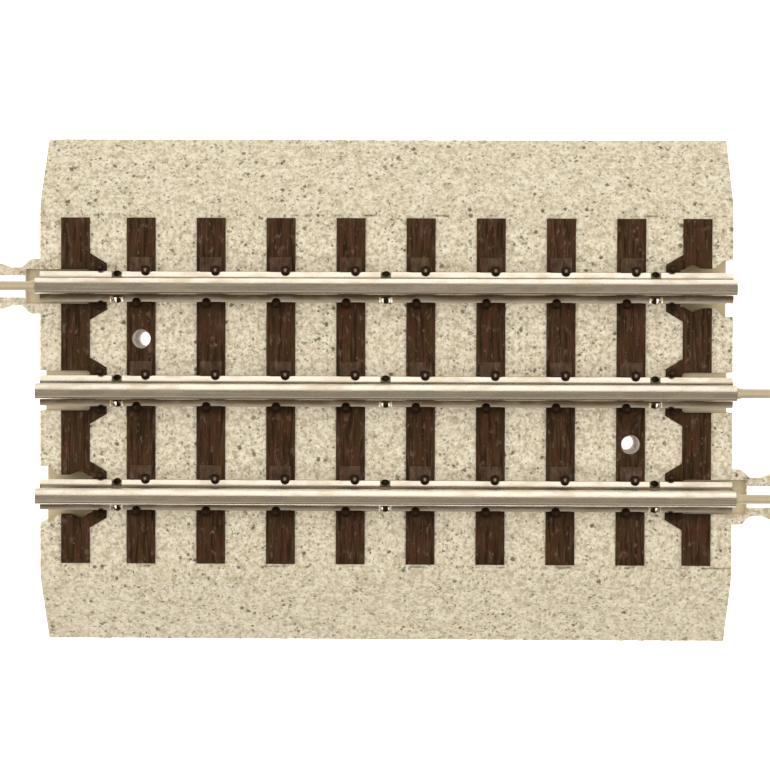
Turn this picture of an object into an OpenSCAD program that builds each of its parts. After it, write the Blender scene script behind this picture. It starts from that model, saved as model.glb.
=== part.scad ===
// Three-rail O gauge model track section with a moulded roadbed.
// X runs along the rails, Y across them and Z up. The origin is the centre of the
// footprint, on the surface that the roadbed stands on.

/* [Section] */
// Length of the roadbed and of the rails
section_l = 114.3; // [104:0.1:126]
// Distance between the facing sides of the two outer rail heads
gauge = 31.8; // [31:0.05:33]

/* [Roadbed] */
// Width of the roadbed at its base
bed_w = 84.5; // [80:0.5:90]
// Width of the flat ballast top
crown_w = 61.5; // [60.5:0.5:66]
// Height of the ballast top above the base
bed_h = 9.5; // [9:0.1:12]
// Height of the upright edge round the base
lip_h = 0.4; // [0.3:0.1:1.5]
// Radius where the ballast top meets its shoulders
crown_r = 5; // [2:0.5:8]
// Thickness of the ballast top
top_t = 2.4; // [2:0.1:2.6]
// Thickness of the shoulders
side_t = 1.8; // [1.2:0.1:2.4]
// Thickness of the end walls
end_t = 2.6; // [2.2:0.1:3]
// Thickness of the ribs under the top
rib_t = 1.3; // [0.8:0.1:1.8]

/* [Ties] */
// Width of a tie
tie_w = 4.7; // [4:0.1:5.2]
// Length of a tie
tie_l = 57.1; // [54:0.1:59]
// Height of a tie above the ballast
tie_proud = 0.35; // [0.2:0.05:0.5]
// Depth of a tie below the ballast
tie_sunk = 1.2; // [0.8:0.1:1.4]
// Radius of a moulded spike head
spike_r = 0.75; // [0.6:0.05:0.9]

/* [Rails] */
// Height of the rail head above the ballast
rail_h = 5.4; // [5:0.1:6]
// Width of the rail head
head_w = 2.6; // [2.3:0.05:2.8]
// Width over the two foot flanges
foot_w = 5; // [4.6:0.1:5.2]
// Thickness of the rolled sheet in the foot
sheet_t = 0.32; // [0.25:0.01:0.4]
// Radius of the socket inside the rail head
socket_r = 0.8; // [0.78:0.01:0.85]
// Depth of the socket that takes the next section's pin
socket_l = 10.8; // [10:0.1:14]

/* [Pins] */
// Radius of the pin's free end
pin_r = 0.775; // [0.7:0.005:0.775]
// Length of the pin outside the rail
pin_l = 9.5; // [8.8:0.1:10]
// Length of the pin held inside the rail
shank_l = 9; // [6:0.5:12]
// Radius of the pin where it is held inside the rail
shank_r = 0.88; // [0.86:0.01:0.9]

/* [Tongues] */
// Length of a tongue beyond the end face
tongue_l = 8.5; // [8:0.1:9]
// Thickness of a tongue
tongue_t = 2.2; // [1.8:0.1:3.4]
// Gap round a tongue in its pocket
tongue_gap = 0.12; // [0.05:0.01:0.2]

/* [Screw holes] */
// Radius of the hole through the tie
screw_top_r = 1.6; // [1.5:0.05:1.8]
// Radius of the hole through the boss
screw_r = 1.25; // [1:0.05:1.4]

/* [Hidden] */
$fn = 48;
EPS = 0.01;
FAR = 40;
BALLAST = "#dbceb2";
BROWN = "#46342a";
NICKEL = "#b4aa9a";
BRASS = "#b6a785";
TIN = "#c3c4c4";

END_X = section_l / 2;
SIDES = [-1, 1];
RAIL_Y = (gauge + head_w) / 2;
RAILS = [RAIL_Y, 0, -RAIL_Y];

// Ties: eight whole ones at an even pitch, and an end tie near each end face.
INNER_TIES = 8;
END_TIE_X = END_X - 5.85;
INNER_SPAN = section_l - 33.45;
TIE_PITCH = INNER_SPAN / (INNER_TIES - 1);
function tie_x(i) = i * TIE_PITCH - INNER_SPAN / 2;
SEAT_GAP = 0.05;
PLATE = [3.6, 2.3, 0.2];
SPIKE_TOP = 0.95;
SPIKE_SHIFT = 0.76;
SPIKE_OFF = 0.1;
GUSSET_OUT = 2.8;
GUSSET_NEAR = 1.3;
GUSSET_FAR = 3;
GUSSET_SPIKE_X = 4.2;
GUSSET_SPIKE_OFF = 0.7;

// Rail section, with heights measured from the ballast top.
FOOT_Y = foot_w / 2;
FOOT_LOW = -0.1;
FOOT_ROOT = [1.3, 0.55];
WEB_Y = 0.6;
WEB_FILLET = FOOT_ROOT.x - WEB_Y;
SLIT_Y = 0.2;
HEAD_LOW = 3;
HEAD_SIDE = 3.45;
HEAD_R = 0.6;
CAVITY_R = 0.6;
PIN_Z = rail_h - 0.32 - socket_r;
GROOVE_Y = FOOT_Y + 0.1;

// Where the rails are fastened down by tabs, and the notch that each tab leaves.
TAB_X = [for (k = [-1, 0, 1]) k * (END_X - 12.75)];
TAB_Y = 1.3;
TAB_W = 0.9;
TAB_T = 0.35;
TAB_FOLD = 1.7;
NOTCH_R = 0.8;
TAB_HOLE_R = 0.8;
TAB_HOLE_Y = 1.9;

// Shoulder on a pin, and the mouth of a socket that takes it.
COLLAR_R = 1;
COLLAR_L = 1.1;
TIP_R = 0.45;

// Half widths of a tongue at distances from the end face.
TONGUE = [[0, 4.55], [1.3, 4.55], [3.3, 3.15], [4.7, 3.15], [6.6, 3.75], [tongue_l, 2.9]];
EASE_STEPS = 6;
SLOT_Y = 1.8;
SLOT_D = 2.5;
SPINE_Y = 1.65;
NOTCH_D = 0.9;

// Smooth recess round each rail end.
RECESS_Y = 2.85;
CENTER_RECESS_Y = 3.3;
RECESS_D = 8.3;
RECESS_DEPTH = 0.6;
RECESS_R = 0.6;
TONGUE_RECESS_D = 2.3;
POCKET_L = tongue_l + 0.2;
POCKET_FLOOR = bed_h - tongue_t - 0.2;
POCKET_BLOCK = [10.4, 11, 1.4];

// Underside: ceiling, ribs, bosses and the strips that carry current.
CEILING = bed_h - top_t;
SLOPE = atan((bed_h - lip_h) / ((bed_w - crown_w) / 2));
HOLLOW_BASE = bed_w / 2 - side_t / sin(SLOPE);
HOLLOW_CROWN = HOLLOW_BASE - (CEILING - lip_h) / tan(SLOPE);
RIB_Y = RAIL_Y / 2;
RIB_X = END_X - 35;
BEAD = [0.9, 1.1];
BOSS_R = 3;
BOSS_CONE = 1.4;
SCREWS = [[tie_x(0), RIB_Y], [tie_x(INNER_TIES - 1), -RIB_Y]];
FEEDER_X = 8;
JUMPER_X = -8;
TAIL = [2, 2 * SLIT_Y, 1.6];
BLADE = [2.8, 6.5, 0.4];
STRAP = [3, 0.4];
STRIP_DROP = 0.9;

// ---- Helpers ----

// Runs a profile drawn in Y and Z along X, centred on X = 0.
module along_x(length) {
    rotate([90, 0, 90])
        translate([0, 0, -length / 2])
            linear_extrude(length)
                children();
}

// A box centred in X and Y, between two heights.
module block(size_x, size_y, low, high) {
    translate([-size_x / 2, -size_y / 2, low])
        cube([size_x, size_y, high - low]);
}

// Places a plan that is drawn outwards from an end face: side is -1 or 1.
module at_end(side, y) {
    translate([side * END_X, y, 0])
        mirror([side > 0 ? 0 : 1, 0, 0])
            children();
}

function eased(a, b, t) = a + (b - a) * (1 - cos(180 * t)) / 2;

// Points along one edge of the tongue, widened by gap.
function tongue_edge(gap) = [
    for (i = [0 : len(TONGUE) - 2], k = [0 : EASE_STEPS - 1])
        let (a = TONGUE[i], b = TONGUE[i + 1], t = k / EASE_STEPS)
            if (k == 0 || a.y != b.y)
                [a.x + (b.x - a.x) * t, eased(a.y, b.y, t) + gap]
];

// Plan of a tongue from the end face outwards.
module tongue_plan(gap, length) {
    edge = concat(tongue_edge(gap), [[length, TONGUE[len(TONGUE) - 1].y + gap]]);
    polygon(concat(edge, [for (i = [len(edge) - 1 : -1 : 0]) [edge[i].x, -edge[i].y]]));
}

// Plan of the smooth recess inside an end face, drawn towards -X.
module recess_plan(half) {
    translate([-RECESS_D + RECESS_R, -half])
        square([RECESS_D, 2 * half]);
    translate([-RECESS_D, -half + RECESS_R])
        square([RECESS_D, 2 * (half - RECESS_R)]);
    for (s = SIDES)
        translate([-RECESS_D + RECESS_R, s * (half - RECESS_R)])
            circle(RECESS_R);
}

// A rail end has a pocket where no tongue sits on an outer rail.
function has_tongue(side, y) = y * side < 0;
function has_pocket(side, y) = y * side > 0;

// Plan of everything cut into the ballast at one rail end, drawn towards -X.
module rail_end_plan(side, y) {
    if (has_pocket(side, y))
        mirror([1, 0])
            tongue_plan(tongue_gap, POCKET_L);
    else
        recess_plan(y == 0 ? CENTER_RECESS_Y : RECESS_Y);
}

// ---- Roadbed ----

function crown_arc(n) =
    let (center = crown_w / 2 - crown_r * tan(SLOPE / 2))
        [for (i = [0 : n])
            let (a = 90 - SLOPE + SLOPE * i / n)
                [center + crown_r * cos(a), bed_h - crown_r + crown_r * sin(a)]];

function mirrored(points) = [for (i = [len(points) - 1 : -1 : 0]) [-points[i].x, points[i].y]];

module bed_profile() {
    right = concat([[bed_w / 2, 0], [bed_w / 2, lip_h]], crown_arc(6));
    polygon(concat(right, mirrored(right)));
}

module hollow_profile() {
    right = [[HOLLOW_BASE, -1], [HOLLOW_BASE, lip_h], [HOLLOW_CROWN, CEILING]];
    polygon(concat(right, mirrored(right)));
}

// Full-height ribs that part the underside into nine bays, and low beads between them.
module ribs() {
    intersection() {
        along_x(section_l - EPS)
            bed_profile();
        union() {
            for (s = SIDES) {
                translate([0, s * RIB_Y, 0])
                    block(section_l, rib_t, 0, CEILING + EPS);
                translate([s * RIB_X, 0, 0])
                    block(rib_t, bed_w, 0, CEILING + EPS);
            }
            for (x = [-1.5, -0.5, 0.5, 1.5], s = SIDES)
                translate([x * RIB_X, s * (RAIL_Y + bed_w / 2) / 2, 0])
                    block(BEAD[0], bed_w / 2 - RAIL_Y - 6, CEILING - BEAD[1], CEILING + EPS);
        }
    }
}

module bosses() {
    for (p = SCREWS)
        translate([p.x, p.y, 0])
            cylinder(h = CEILING + EPS, r = BOSS_R);
}

// Material under a pocket, so that its floor is closed.
module pocket_blocks() {
    for (side = SIDES, y = RAILS)
        if (has_pocket(side, y))
            translate([side * (END_X - POCKET_BLOCK.x / 2), y, 0])
                block(POCKET_BLOCK.x, POCKET_BLOCK.y, POCKET_FLOOR - POCKET_BLOCK.z, CEILING + EPS);
}

module tongue(side, y) {
    at_end(side, y)
        difference() {
            translate([0, 0, bed_h - tongue_t])
                linear_extrude(tongue_t)
                    tongue_plan(0, tongue_l);
            translate([SLOT_D, -SLOT_Y, 0])
                cube([FAR, 2 * SLOT_Y, FAR]);
            translate([-1, -RECESS_Y, bed_h - RECESS_DEPTH])
                cube([1 + TONGUE_RECESS_D, 2 * RECESS_Y, 1]);
        }
}

module rail_end_cut(side, y) {
    at_end(side, y) {
        difference() {
            translate([0, 0, has_pocket(side, y) ? POCKET_FLOOR : bed_h - RECESS_DEPTH])
                linear_extrude(FAR)
                    rail_end_plan(side, y);
            translate([-FAR - SLOT_D, -SPINE_Y, 0])
                cube([FAR, 2 * SPINE_Y, bed_h + FOOT_LOW]);
        }
        if (!has_tongue(side, y)) {
            notch_y = has_pocket(side, y) ? TONGUE[0].y + tongue_gap : CENTER_RECESS_Y;
            translate([-NOTCH_D, -notch_y, -1])
                cube([FAR, 2 * notch_y, FAR]);
        }
    }
}

// Seats for the ties, drawn as the ties themselves with a gap all round.
module tie_seats() {
    translate([0, 0, bed_h - tie_sunk]) {
        for (i = [0 : INNER_TIES - 1])
            translate([tie_x(i), 0, 0])
                block(tie_w + 2 * SEAT_GAP, tie_l + 2 * SEAT_GAP, 0, FAR);
        for (side = SIDES)
            linear_extrude(FAR)
                end_tie_plan(side, SEAT_GAP);
    }
}

module screw_holes() {
    for (p = SCREWS)
        translate([p.x, p.y, -1]) {
            cylinder(h = FAR, r = screw_r);
            translate([0, 0, bed_h - tie_sunk - BOSS_CONE + 1])
                cylinder(h = BOSS_CONE + EPS, r1 = screw_r, r2 = screw_top_r);
        }
}

module tab_holes() {
    for (y = RAILS, x = TAB_X, s = SIDES)
        translate([x, y + s * TAB_HOLE_Y, CEILING - 1])
            cylinder(h = FAR, r = TAB_HOLE_R);
}

// Slots through the top for the tails of the feeder tabs and of the jumper.
module tail_slots() {
    for (y = RAILS)
        translate([FEEDER_X, y, 0])
            block(TAIL.x + 0.3, TAIL.y + 0.3, CEILING - 1, FAR);
    for (s = SIDES)
        translate([JUMPER_X, s * RAIL_Y, 0])
            block(TAIL.x + 0.3, TAIL.y + 0.3, CEILING - 1, FAR);
    translate([JUMPER_X, 0, 0])
        block(STRAP.x + 0.6, 2 * RIB_Y + 4, CEILING - STRIP_DROP - 0.7, CEILING);
}

module roadbed() {
    color(BALLAST)
        difference() {
            union() {
                difference() {
                    along_x(section_l)
                        bed_profile();
                    along_x(section_l - 2 * end_t)
                        hollow_profile();
                }
                ribs();
                bosses();
                pocket_blocks();
                for (side = SIDES, y = RAILS)
                    if (has_tongue(side, y))
                        tongue(side, y);
            }
            for (y = RAILS)
                translate([0, y, 0])
                    block(section_l, 2 * GROOVE_Y, bed_h + FOOT_LOW, FAR);
            for (side = SIDES, y = RAILS)
                rail_end_cut(side, y);
            tie_seats();
            screw_holes();
            tab_holes();
            tail_slots();
        }
}

// ---- Ties ----

// Plan of one gusset, outwards from the tie towards the middle of the section.
module gusset_plan(gap) {
    polygon([
        [0, -GROOVE_Y], [GUSSET_OUT + gap, -GROOVE_Y],
        [GUSSET_OUT + gap, FOOT_Y + GUSSET_NEAR + gap], [0, FOOT_Y + GUSSET_FAR + gap]
    ]);
}

// Plan of an end tie with its gussets, less the rail grooves and the recesses.
module end_tie_plan(side, gap) {
    difference() {
        union() {
            translate([side * END_TIE_X - tie_w / 2 - gap, -tie_l / 2 - gap])
                square([tie_w + 2 * gap, tie_l + 2 * gap]);
            for (y = RAILS, s = SIDES)
                translate([side * (END_TIE_X - tie_w / 2), y])
                    mirror([side > 0 ? 1 : 0, 0])
                        mirror([0, s > 0 ? 0 : 1])
                            gusset_plan(gap);
        }
        for (y = RAILS) {
            translate([-END_X, y - GROOVE_Y])
                square([section_l, 2 * GROOVE_Y]);
            translate([side * END_X, y])
                mirror([side > 0 ? 0 : 1, 0])
                    rail_end_plan(side, y);
        }
    }
}

// Space that a rail's foot takes up, with a little air above it.
module foot_space(y) {
    translate([0, y, bed_h])
        along_x(section_l)
            polygon([
                [-GROOVE_Y, FOOT_LOW], [GROOVE_Y, FOOT_LOW], [GROOVE_Y, FOOT_LOW + sheet_t + 0.05],
                [FOOT_ROOT.x, FOOT_ROOT.y + 0.08], [-FOOT_ROOT.x, FOOT_ROOT.y + 0.08],
                [-GROOVE_Y, FOOT_LOW + sheet_t + 0.05]
            ]);
}

module spike(x, y, s, off = SPIKE_OFF) {
    translate([x, y + s * (FOOT_Y + off), bed_h])
        cylinder(h = SPIKE_TOP, r = spike_r);
}

module plate(x, y, s) {
    translate([x, y + s * (GROOVE_Y + PLATE.y / 2), bed_h + tie_proud - EPS])
        block(PLATE.x, PLATE.y, 0, PLATE.z);
}

module inner_tie(i) {
    x = tie_x(i);
    color(BROWN)
        difference() {
            union() {
                difference() {
                    translate([x, 0, bed_h])
                        block(tie_w, tie_l, -tie_sunk, tie_proud);
                    for (y = RAILS)
                        translate([x, y, bed_h])
                            block(tie_w + 1, 2 * GROOVE_Y, FOOT_LOW, 1);
                }
                for (y = RAILS, s = SIDES) {
                    plate(x, y, s);
                    spike(x + s * SPIKE_SHIFT, y, s);
                }
            }
            for (y = RAILS)
                foot_space(y);
            for (p = SCREWS)
                translate([p.x, p.y, 0])
                    cylinder(h = FAR, r = screw_top_r);
        }
}

// One block of an end tie, between the low and high Y of a band.
module end_tie_block(side, low, high) {
    gusset_x = side * (END_TIE_X - GUSSET_SPIKE_X);
    color(BROWN)
        difference() {
            union() {
                translate([0, 0, bed_h - tie_sunk])
                    linear_extrude(tie_sunk + tie_proud)
                        intersection() {
                            end_tie_plan(side, 0);
                            translate([-END_X, low])
                                square([section_l, high - low]);
                        }
                for (y = RAILS, s = SIDES)
                    if ((s > 0 && y == low) || (s < 0 && y == high))
                        spike(gusset_x, y, s, GUSSET_SPIKE_OFF);
            }
            for (y = RAILS)
                foot_space(y);
        }
}

// ---- Rails ----

module head_profile() {
    top = rail_h - HEAD_R;
    half = head_w / 2 - HEAD_R;
    for (s = SIDES)
        translate([s * half, top])
            circle(HEAD_R);
    translate([-half, top])
        square([2 * half, HEAD_R]);
    polygon([
        [-WEB_Y, HEAD_LOW], [WEB_Y, HEAD_LOW], [head_w / 2, HEAD_SIDE], [head_w / 2, top],
        [-head_w / 2, top], [-head_w / 2, HEAD_SIDE]
    ]);
}

// Upper surface of the foot, with a fillet up into the web.
module foot_profile() {
    polygon([
        [-FOOT_Y, FOOT_LOW], [FOOT_Y, FOOT_LOW], [FOOT_Y, FOOT_LOW + sheet_t],
        FOOT_ROOT, [-FOOT_ROOT.x, FOOT_ROOT.y], [-FOOT_Y, FOOT_LOW + sheet_t]
    ]);
    difference() {
        translate([-FOOT_ROOT.x, FOOT_ROOT.y - EPS])
            square([2 * FOOT_ROOT.x, WEB_FILLET + EPS]);
        for (s = SIDES)
            translate([s * FOOT_ROOT.x, FOOT_ROOT.y + WEB_FILLET])
                circle(WEB_FILLET);
    }
    translate([-WEB_Y, 0])
        square([2 * WEB_Y, HEAD_LOW + EPS]);
}

// The fold is hollow: a slit through the web and a tapering space under the foot.
module fold_profile() {
    translate([-SLIT_Y, -1])
        square([2 * SLIT_Y, PIN_Z + 1]);
    polygon([
        [-FOOT_Y + sheet_t, -1], [FOOT_Y - sheet_t, -1], [FOOT_Y - sheet_t, FOOT_LOW],
        [FOOT_ROOT.x - sheet_t, FOOT_ROOT.y - sheet_t], [-FOOT_ROOT.x + sheet_t, FOOT_ROOT.y - sheet_t],
        [-FOOT_Y + sheet_t, FOOT_LOW]
    ]);
}

// One tab: down through the roadbed and folded outwards against its ceiling.
module rail_tab(s) {
    low = -top_t - TAB_T - 0.05;
    translate([0, s * (TAB_Y + TAB_T / 2), 0])
        block(TAB_W, TAB_T, low, FOOT_ROOT.y - sheet_t);
    translate([0, s * (TAB_Y + TAB_FOLD / 2), 0])
        block(TAB_W, TAB_FOLD, low, low + TAB_T);
}

// Bore that holds a pin's shank, drawn into the rail from its end.
module shank_bore() {
    translate([0, 0, -1])
        cylinder(h = shank_l + 1, r = shank_r);
}

// Open socket for the next section's pin, with a flared mouth for its shoulder.
module socket() {
    translate([0, 0, -1])
        cylinder(h = socket_l + 1, r = socket_r);
    translate([0, 0, -EPS])
        cylinder(h = COLLAR_L, r1 = COLLAR_R + 0.03, r2 = socket_r);
}

// A rail with its pin's bore at one end and an open socket at the other.
module rail(y, pin_side) {
    color(NICKEL)
        translate([0, y, bed_h]) {
            difference() {
                along_x(section_l)
                    union() {
                        head_profile();
                        foot_profile();
                    }
                along_x(section_l + 1)
                    union() {
                        fold_profile();
                        translate([0, PIN_Z])
                            circle(CAVITY_R);
                    }
                for (s = SIDES)
                    translate([s * END_X, 0, PIN_Z])
                        rotate([0, -90 * s, 0])
                            if (s == pin_side)
                                shank_bore();
                            else
                                socket();
                for (x = TAB_X, s = SIDES)
                    translate([x, s * FOOT_Y, -1])
                        cylinder(h = 1 + FOOT_ROOT.y, r = NOTCH_R);
            }
            for (x = TAB_X, s = SIDES)
                translate([x, 0, 0])
                    rail_tab(s);
        }
}

// ---- Pins ----

module rail_pin(y, side) {
    color(BRASS)
        translate([side * END_X, y, bed_h + PIN_Z])
            rotate([0, 90 * side, 0])
                rotate_extrude()
                    polygon([
                        [0, -shank_l], [shank_r, -shank_l], [shank_r, 0], [COLLAR_R, 0],
                        [pin_r, COLLAR_L], [pin_r, pin_l - TIP_R], [pin_r - TIP_R / 2, pin_l], [0, pin_l]
                    ]);
}

// ---- Contacts under the roadbed ----

// Tail that grips the slit in a rail's web.
module tail() {
    block(TAIL.x, TAIL.y, CEILING - STRIP_DROP, bed_h + TAIL.z);
}

// Feeder tab with its blade turned towards way, which is -1 or 1 along Y.
module feeder_tab(y, way) {
    color(TIN)
        translate([FEEDER_X, y, 0]) {
            tail();
            translate([0, way * (BLADE.y / 2 - TAIL.y / 2), CEILING - STRIP_DROP])
                block(BLADE.x, BLADE.y, 0, BLADE.z);
        }
}

module outer_rail_jumper() {
    color(TIN)
        translate([JUMPER_X, 0, 0]) {
            for (s = SIDES)
                translate([0, s * RAIL_Y, 0])
                    tail();
            translate([0, 0, CEILING - STRIP_DROP])
                block(STRAP.x, 2 * RAIL_Y + TAIL.y, 0, STRAP.y);
        }
}

roadbed();
end_tie_block(-1, RAIL_Y, FAR);  // left_end_tie_rear_outer
end_tie_block(-1, 0, RAIL_Y);  // left_end_tie_rear_inner
end_tie_block(-1, -RAIL_Y, 0);  // left_end_tie_front_inner
end_tie_block(-1, -FAR, -RAIL_Y);  // left_end_tie_front_outer
inner_tie(0);  // tie_2
inner_tie(1);  // tie_3
inner_tie(2);  // tie_4
inner_tie(3);  // tie_5
inner_tie(4);  // tie_6
inner_tie(5);  // tie_7
inner_tie(6);  // tie_8
inner_tie(7);  // tie_9
end_tie_block(1, RAIL_Y, FAR);  // right_end_tie_rear_outer
end_tie_block(1, 0, RAIL_Y);  // right_end_tie_rear_inner
end_tie_block(1, -RAIL_Y, 0);  // right_end_tie_front_inner
end_tie_block(1, -FAR, -RAIL_Y);  // right_end_tie_front_outer
rail(RAIL_Y, -1);  // rail_rear
rail(0, 1);  // rail_center
rail(-RAIL_Y, 1);  // rail_front
rail_pin(RAIL_Y, -1);  // rail_pin_rear
rail_pin(0, 1);  // rail_pin_center
rail_pin(-RAIL_Y, 1);  // rail_pin_front
feeder_tab(RAIL_Y, -1);  // feeder_tab_rear
feeder_tab(0, 1);  // feeder_tab_center
feeder_tab(-RAIL_Y, 1);  // feeder_tab_front
outer_rail_jumper();
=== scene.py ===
"""Looks of a three-rail O gauge model track section on a moulded roadbed.

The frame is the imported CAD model. +X runs along the rails, +Y across them and +Z up, and lengths
are in metres, while the materials work in millimetres. Every piece is a copy of its CAD node: the
roadbed, the ties and the rails get finer surfaces, and the pins and the contacts eased corners.
"""

import math

import bmesh
import bpy
import numpy as np
from mathutils import Matrix, Vector


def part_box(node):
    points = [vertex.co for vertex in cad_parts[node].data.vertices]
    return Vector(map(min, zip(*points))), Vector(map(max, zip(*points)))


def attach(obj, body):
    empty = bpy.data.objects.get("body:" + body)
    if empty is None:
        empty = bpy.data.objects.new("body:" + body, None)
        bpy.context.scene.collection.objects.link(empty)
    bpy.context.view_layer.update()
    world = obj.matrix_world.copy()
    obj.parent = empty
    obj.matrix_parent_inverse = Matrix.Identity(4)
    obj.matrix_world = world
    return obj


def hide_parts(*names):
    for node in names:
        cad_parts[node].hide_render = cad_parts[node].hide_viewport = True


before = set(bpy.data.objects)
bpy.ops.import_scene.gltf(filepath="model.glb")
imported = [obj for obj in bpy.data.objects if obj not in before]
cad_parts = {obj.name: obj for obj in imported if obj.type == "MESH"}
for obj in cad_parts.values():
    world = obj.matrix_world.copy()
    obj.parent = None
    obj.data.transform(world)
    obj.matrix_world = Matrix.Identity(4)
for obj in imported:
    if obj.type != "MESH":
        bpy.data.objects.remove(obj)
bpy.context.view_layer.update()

MM = 0.001
SIDES = (-1, 1)

# ---- Driving dimensions, most of them from the frame ----

BED_LOW, BED_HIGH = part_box("roadbed")
RAIL_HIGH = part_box("rail_center")[1]
BALLAST_Z = BED_HIGH.z
HEAD_Z = RAIL_HIGH.z
END_X = RAIL_HIGH.x
RAIL_Y = (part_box("rail_rear")[0].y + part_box("rail_rear")[1].y) / 2
RAILS = {"rail_rear": RAIL_Y, "rail_center": 0.0, "rail_front": -RAIL_Y}
TAB_X = [k * (END_X - 12.75 * MM) for k in (-1, 0, 1)]
FOOT_Y = RAIL_HIGH.y

# A face is flat when its normal's Z is above FLAT, and places closer than TINY are the same.
FLAT = 0.9
TINY = 1e-6

# Angles in degrees beyond which an edge is shaded sharp.
PLAIN_SHARP = 25
STONE_SHARP = 60
WOOD_SHARP = 50
METAL_SHARP = 35
RAIL_SHARP = 30

# Roadbed: where the flat top starts to round over, and the relief of its stones.
SHOULDER_Y = 29.0 * MM
SHOULDER_FALL = math.radians(38.4)
STONE_STEP = 0.34 * MM
COARSE_STONE = 1.25 * MM
FINE_STONE = 0.6 * MM
COARSE_RELIEF = 0.24 * MM
FINE_RELIEF = 0.11 * MM
STONE_MEAN = 0.5
EDGE_SINK = 0.03 * MM

# Screw holes, in the second and ninth ties.
SCREW_AT = ((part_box("tie_2")[1].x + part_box("tie_2")[0].x) / -2, RAIL_Y / 2)
SCREW_R = 1.6 * MM

# Ties: wood grain that runs along Y.
TIE_TOP_Z = BALLAST_Z + 0.35 * MM
PLATE_TOP_Z = TIE_TOP_Z + 0.2 * MM
SPIKE_TOP_Z = BALLAST_Z + 0.95 * MM
INNER_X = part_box("tie_9")[1].x
SPIKE_DOME = 0.11 * MM
SPIKE_R = 0.75 * MM
SPIKE_Y = FOOT_Y + 0.1 * MM
SPIKE_OUT = 0.2 * MM
SPIKE_WIDER = 1.2
SPIKE_ROUND = 0.42 * MM
PLATE_ROUND = 0.16 * MM
TIE_ROUND = 0.12 * MM
GRAIN_STEP_X = 0.17 * MM
GRAIN_STEP_Y = 0.8 * MM
GRAIN_DEPTH = 0.07 * MM

# Rails: a head that is flat on top and rounds over towards +Y from a place that differs a little
# from rail to rail, a fine seam beside it, a foot that bends down towards its edges, and lips bent
# up beside the tab notches.
HEAD_R = 0.6 * MM
CROWN_R = 1.75 * MM
CROWN_DEEP = 0.7 * MM
CROWN_STEP = 0.05 * MM
CROWN_FROM = {"rail_rear": 0.36 * MM, "rail_center": 0.1 * MM, "rail_front": 0.0}
SEAM_Y = 0.84 * MM
SEAM_WIDE = 0.07 * MM
SEAM_DEPTH = 0.003 * MM
WEB_Y = 0.6 * MM
FOOT_EDGE_Z = BALLAST_Z + 0.16 * MM
FOOT_TOP_MIN = 0.1 * MM
FOOT_TOP_MAX = 1.3 * MM
FOOT_STEP = 0.12 * MM
FOOT_SLOPE = 0.33
FOOT_BEND = (1.4 * MM, 2.0 * MM)
FOOT_ROOT_UP = 0.5 * MM
FOOT_ROOT_WIDE = 0.4 * MM
NOTCH_R = 0.8 * MM
FOLD_WIDER = 1.9
LIP_UP = 0.28 * MM
LIP_WIDE = 0.3 * MM
LIP_FROM_Y = 1.3 * MM
LIP_GROWTH = 0.5 * MM
LIP_ZONE = (BALLAST_Z - 0.5 * MM, BALLAST_Z + 1.4 * MM)

# Small metal: how far sharp corners are eased.
PIN_EASE = 0.05 * MM
CONTACT_EASE = 0.08 * MM
EASED_FROM = math.radians(40)


# ---- Mesh helpers ----


def cad_copy(node):
    """A CAD node's mesh with its triangles joined up into flat faces."""
    bm = bmesh.new()
    bm.from_mesh(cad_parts[node].data)
    bmesh.ops.remove_doubles(bm, verts=bm.verts, dist=TINY / 10)
    bmesh.ops.dissolve_limit(bm, angle_limit=math.radians(0.4), verts=bm.verts, edges=bm.edges)
    return bm


def slice_faces(bm, faces, axis, cuts):
    """Cuts faces by the planes across one axis and returns all their pieces."""
    normal = Vector((0, 0, 0))
    normal[axis] = 1
    done, rest = [], list(faces)
    for cut in cuts:
        low_side, crossing, high_side = [], [], []
        for face in rest:
            places = [v.co[axis] for v in face.verts]
            if max(places) <= cut + TINY:
                low_side.append(face)
            elif min(places) >= cut - TINY:
                high_side.append(face)
            else:
                crossing.append(face)
        if crossing:
            edges = list({e for f in crossing for e in f.edges})
            corners = list({v for f in crossing for v in f.verts})
            result = bmesh.ops.bisect_plane(
                bm,
                geom=crossing + edges + corners,
                dist=TINY / 10,
                plane_co=normal * cut,
                plane_no=normal,
            )
            for piece in result["geom"]:
                if isinstance(piece, bmesh.types.BMFace):
                    side = low_side if piece.calc_center_median()[axis] < cut else high_side
                    side.append(piece)
        done += low_side
        rest = high_side
    return done + rest


def steps(low, high, step):
    """Evenly spaced cuts between two places, about one step apart."""
    count = max(1, round((high - low) / step))
    return [low + (high - low) * i / count for i in range(1, count)]


def make_piece(bm, name, node, materials, sharp):
    """Turns bm into a piece that stands for a CAD node. Its edges are smooth up to the angle sharp,
    or up to PLAIN_SHARP between two faces of its second material."""
    for edge in bm.edges:
        if len(edge.link_faces) == 2:
            plain = all(f.material_index == 1 for f in edge.link_faces)
            edge.smooth = edge.calc_face_angle(0) < math.radians(PLAIN_SHARP if plain else sharp)
    mesh = bpy.data.meshes.new(name)
    bm.to_mesh(mesh)
    bm.free()
    for material in materials:
        mesh.materials.append(material)
    mesh.polygons.foreach_set("use_smooth", [True] * len(mesh.polygons))
    piece = bpy.data.objects.new(name, mesh)
    bpy.context.scene.collection.objects.link(piece)
    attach(piece, "root")
    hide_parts(node)
    return piece


# ---- Repeatable noise ----


def hashed(i, j, seed):
    """A number from 0 to 1 for each whole-number place."""
    n = (i * 374761393 + j * 668265263 + seed * 974634777) & 0xFFFFFFFF
    n = ((n ^ (n >> 13)) * 1274126177) & 0xFFFFFFFF
    return ((n ^ (n >> 16)) & 0xFFFFFF) / float(0xFFFFFF)


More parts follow.
